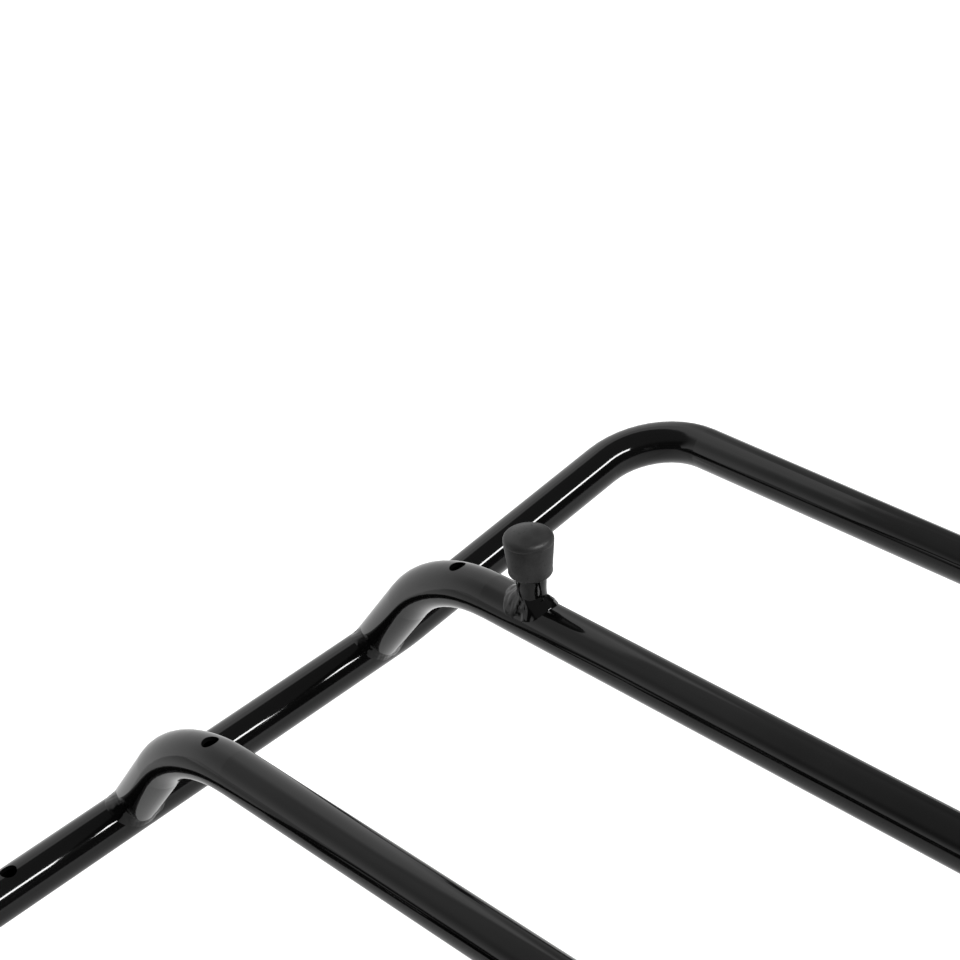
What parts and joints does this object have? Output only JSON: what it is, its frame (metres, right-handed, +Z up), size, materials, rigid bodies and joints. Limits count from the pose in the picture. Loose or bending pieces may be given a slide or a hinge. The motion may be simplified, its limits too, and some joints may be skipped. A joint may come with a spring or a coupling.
{
  "type": "folding luggage rack",
  "caption": "Fold-down luggage rack: a U-shaped loop of black round tube with raised swan-neck crossbars and rubber-capped pegs, hinged on a wall rail.",
  "frame": {"origin": "on the wall face, midway between the two brackets, level with the hinge axis", "axes": "+X along the hinge and the crossbars, +Y out from the wall, +Z up"},
  "size_m": [0.5704, 0.5368, 0.1329],
  "materials": {
    "black_paint": "glossy",
    "rubber": "matte",
    "zinc": "zinc plated",
    "bronze": "sintered"
  },
  "bodies": {
    "wall_frame": {"bracket_welds": "black_paint", "left_bracket": "black_paint", "left_buffer": "rubber", "left_buffer_nut": "zinc", "left_buffer_stud": "zinc", "left_pivot_bolt": "zinc", "left_pivot_nut": "zinc", "left_pivot_washers": "zinc", "left_stop_bridge": "black_paint", "right_bracket": "black_paint", "right_buffer": "rubber", "right_buffer_nut": "zinc", "right_buffer_stud": "zinc", "right_pivot_bolt": "zinc", "right_pivot_nut": "zinc", "right_pivot_washers": "zinc", "right_stop_bridge": "black_paint", "wall_rail": "black_paint"},
    "platform": {"crossbar_1": "black_paint", "crossbar_1_welds": "black_paint", "crossbar_2": "black_paint", "crossbar_2_welds": "black_paint", "crossbar_3": "black_paint", "crossbar_3_welds": "black_paint", "left_hinge_sleeve": "black_paint", "left_inner_bush": "bronze", "left_outer_bush": "bronze", "left_peg": "black_paint", "left_peg_cap": "rubber", "left_peg_weld": "black_paint", "left_sleeve_weld": "black_paint", "outer_loop": "black_paint", "right_hinge_sleeve": "black_paint", "right_inner_bush": "bronze", "right_outer_bush": "bronze", "right_peg": "black_paint", "right_peg_cap": "rubber", "right_peg_weld": "black_paint", "right_sleeve_weld": "black_paint"}
  },
  "joints": [
    {"name": "fold", "type": "hinge", "parent": "wall_frame", "child": "platform", "pos_m": [0, 0.08837, 0], "axis": [1, 0, 0], "range_deg": [0, 90]}
  ]
}
